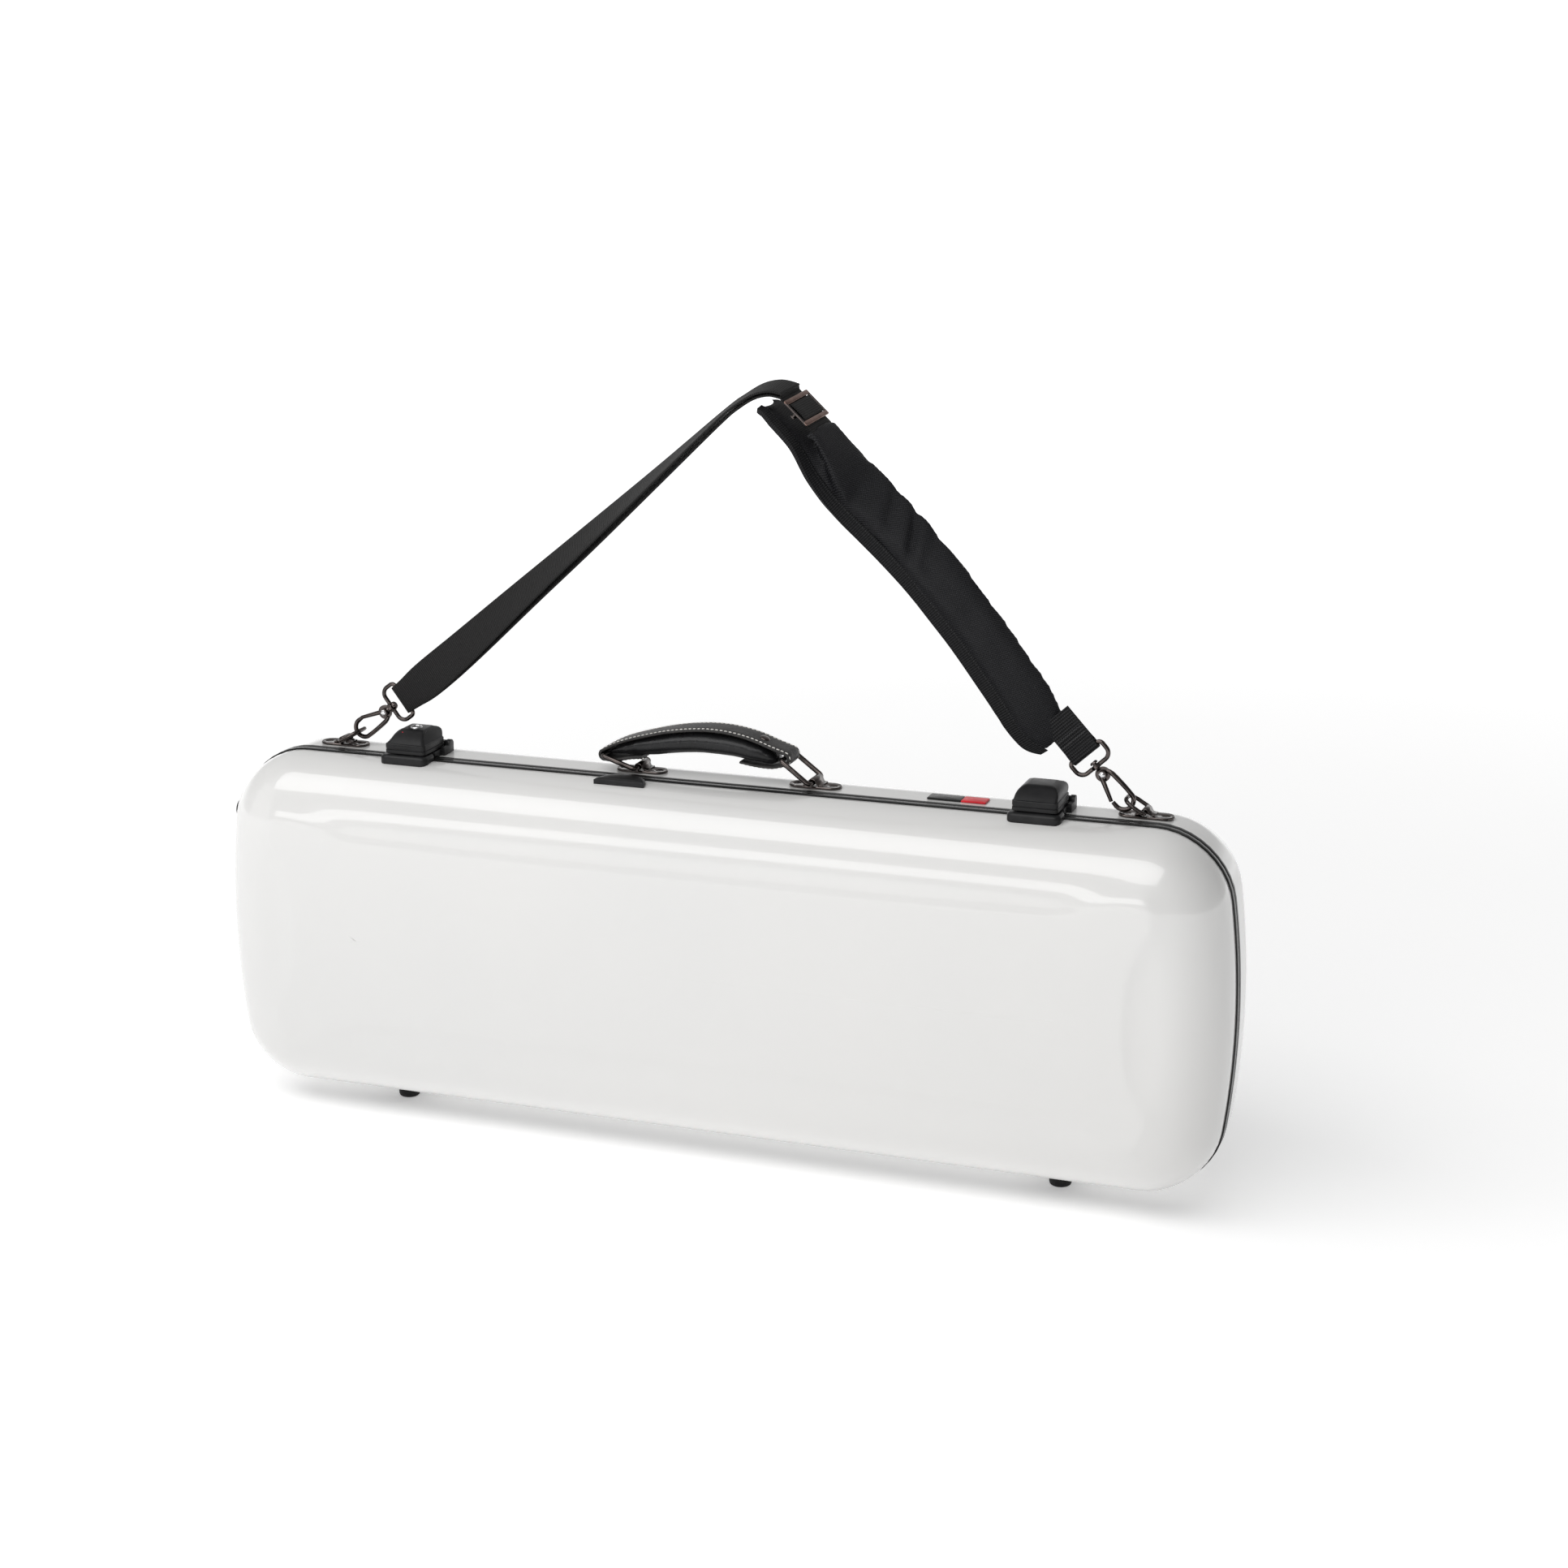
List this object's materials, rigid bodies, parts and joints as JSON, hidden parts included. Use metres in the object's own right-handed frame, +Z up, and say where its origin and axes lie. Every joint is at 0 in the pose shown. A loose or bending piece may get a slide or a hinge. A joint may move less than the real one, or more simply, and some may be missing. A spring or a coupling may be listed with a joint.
{
  "type": "violin case",
  "caption": "Oblong hard case for a violin: hinged white lid, clamshell locks, folding handle, padded shoulder strap on swivel hooks, fitted interior.",
  "frame": {"origin": "centre of the bounding box seen from above, on the floor under the bottom feet", "axes": "+X along the case towards the end without feet, +Y from the lid to the back, +Z up"},
  "size_m": [0.8046, 0.1346, 0.5805],
  "materials": {
    "shell": "glossy white moulded polycarbonate",
    "trim": "satin black plastic",
    "gunmetal": "black nickel plated steel",
    "chrome": "bright chrome",
    "rubber": "matt black rubber",
    "leather": "black leather",
    "webbing": "black nylon",
    "lining": "dark plush over foam",
    "label": "plain black and red label, no text"
  },
  "bodies": {
    "case": {"base_shell": "shell", "base_rim": "trim", "hinge_left_base_leaf": "trim", "hinge_right_base_leaf": "trim", "foot_front_left": "rubber", "foot_front_right": "rubber", "foot_rear_left": "rubber", "foot_rear_right": "rubber", "end_foot_front_upper": "rubber", "end_foot_front_lower": "rubber", "end_foot_rear_upper": "rubber", "end_foot_rear_lower": "rubber", "lock_left_base": "trim", "lock_right_base": "trim", "label_plate": "label", "handle_bracket_left": "gunmetal", "handle_bracket_right": "gunmetal", "strap_bracket_left": "gunmetal", "strap_bracket_right": "gunmetal", "hook_left_eye": "gunmetal", "hook_right_eye": "gunmetal", "strap_webbing": "webbing", "shoulder_pad": "webbing", "end_webbing": "webbing", "suspension_bed": "lining", "neck_rest": "lining", "neck_strap": "webbing"},
    "lid": {"lid_shell": "shell", "lid_rim": "trim", "hinge_left_lid_leaf": "trim", "hinge_right_lid_leaf": "trim", "lock_left_keeper": "trim", "lock_right_keeper": "trim", "lid_pull_tab": "trim", "lid_lining": "lining", "bow_tip_pocket_upper": "lining", "bow_tip_pocket_lower": "lining"},
    "lock_cover_left": {"lock_left_cover": "trim"},
    "key_cylinder": {"lock_left_key_cylinder": "chrome"},
    "lock_cover_right": {"lock_right_cover": "trim"},
    "handle_loop_left": {"handle_loop_left": "gunmetal"},
    "handle": {"handle_strap": "leather", "handle_grip": "leather", "handle_rivet": "gunmetal"},
    "handle_loop_right": {"handle_loop_right": "gunmetal"},
    "d_ring_left": {"d_ring_left": "gunmetal"},
    "d_ring_right": {"d_ring_right": "gunmetal"},
    "hook_left": {"hook_left_body": "gunmetal"},
    "hook_left_gate": {"hook_left_gate": "gunmetal"},
    "hook_right": {"hook_right_body": "gunmetal"},
    "hook_right_gate": {"hook_right_gate": "gunmetal"},
    "adjuster": {"strap_adjuster": "gunmetal"},
    "small_well_lid": {"small_well_lid": "lining"},
    "bow_clip_upper": {"bow_clip_upper": "trim"},
    "bow_clip_lower": {"bow_clip_lower": "trim"}
  },
  "joints": [
    {"name": "lid_hinge", "type": "hinge", "parent": "case", "child": "lid", "pos_m": [0.0061, -0.0117, 0.0142], "axis": [1, 0, 0], "range_deg": [0, 100]},
    {"name": "lock_left_hinge", "type": "hinge", "parent": "case", "child": "lock_cover_left", "pos_m": [-0.2374, 0.0123, 0.2919], "axis": [-1, 0, 0], "range_deg": [0, 35]},
    {"name": "key_turn", "type": "hinge", "parent": "lock_cover_left", "child": "key_cylinder", "pos_m": [-0.2374, -0.005, 0.3054], "axis": [0, 0, 1], "range_deg": [0, 90]},
    {"name": "lock_right_hinge", "type": "hinge", "parent": "case", "child": "lock_cover_right", "pos_m": [0.2551, 0.0123, 0.2919], "axis": [-1, 0, 0], "range_deg": [0, 48]},
    {"name": "handle_loop_left_hinge", "type": "hinge", "parent": "case", "child": "handle_loop_left", "pos_m": [-0.0564, 0.0088, 0.29], "axis": [0, 1, 0], "range_deg": [0, 67]},
    {"name": "handle_pivot", "type": "hinge", "parent": "handle_loop_left", "child": "handle", "pos_m": [-0.08255, 0.0088, 0.2985], "axis": [0, 1, 0], "range_deg": [-64, 0]},
    {"name": "handle_loop_right_hinge", "type": "hinge", "parent": "case", "child": "handle_loop_right", "pos_m": [0.0811, 0.0088, 0.29], "axis": [0, 1, 0], "range_deg": [0, 57.5]},
    {"name": "d_ring_left_hinge", "type": "hinge", "parent": "case", "child": "d_ring_left", "pos_m": [-0.3069, 0.0088, 0.2897], "axis": [0, 1, 0], "range_deg": [-4, 4]},
    {"name": "d_ring_right_hinge", "type": "hinge", "parent": "case", "child": "d_ring_right", "pos_m": [0.3276, 0.0088, 0.2897], "axis": [0, -1, 0], "range_deg": [0, 14]},
    {"name": "hook_left_swivel", "type": "hinge", "parent": "case", "child": "hook_left", "pos_m": [-0.26597, 0.0102, 0.31793], "axis": [-0.8, 0, -0.6], "range_deg": [-10, 10]},
    {"name": "hook_left_gate_pivot", "type": "hinge", "parent": "hook_left", "child": "hook_left_gate", "pos_m": [-0.27181, 0.0088, 0.31355], "axis": [0, -1, 0], "range_deg": [0, 18], "stiffness_Nm_per_rad": 0.03, "springref_deg": -20.05},
    {"name": "hook_right_swivel", "type": "hinge", "parent": "case", "child": "hook_right", "pos_m": [0.29035, 0.0102, 0.31866], "axis": [0.676, 0, -0.7369], "range_deg": [-10, 10]},
    {"name": "hook_right_gate_pivot", "type": "hinge", "parent": "hook_right", "child": "hook_right_gate", "pos_m": [0.29528, 0.0088, 0.31328], "axis": [0, -1, 0], "range_deg": [0, 18], "stiffness_Nm_per_rad": 0.03, "springref_deg": -20.05},
    {"name": "adjuster_slide", "type": "slide", "parent": "case", "child": "adjuster", "axis": [0.7283, 0, -0.6853], "range_m": [-0.003, 0.004]},
    {"name": "small_well_lid_hinge", "type": "hinge", "parent": "case", "child": "small_well_lid", "pos_m": [0.0871, -0.0061, 0.2597], "axis": [-1, 0, 0], "range_deg": [0, 74]},
    {"name": "bow_clip_upper_turn", "type": "hinge", "parent": "lid", "child": "bow_clip_upper", "pos_m": [0.2981, -0.0533, 0.2017], "axis": [0, 1, 0], "range_deg": [-90, 90]},
    {"name": "bow_clip_lower_turn", "type": "hinge", "parent": "lid", "child": "bow_clip_lower", "pos_m": [0.2981, -0.0533, 0.1017], "axis": [0, 1, 0], "range_deg": [-90, 90]}
  ],
  "couplings": [
    {"joint": "handle_pivot", "follows": "handle_loop_left_hinge", "ratio": -0.9515},
    {"joint": "handle_loop_right_hinge", "follows": "handle_loop_left_hinge", "ratio": 0.854}
  ]
}
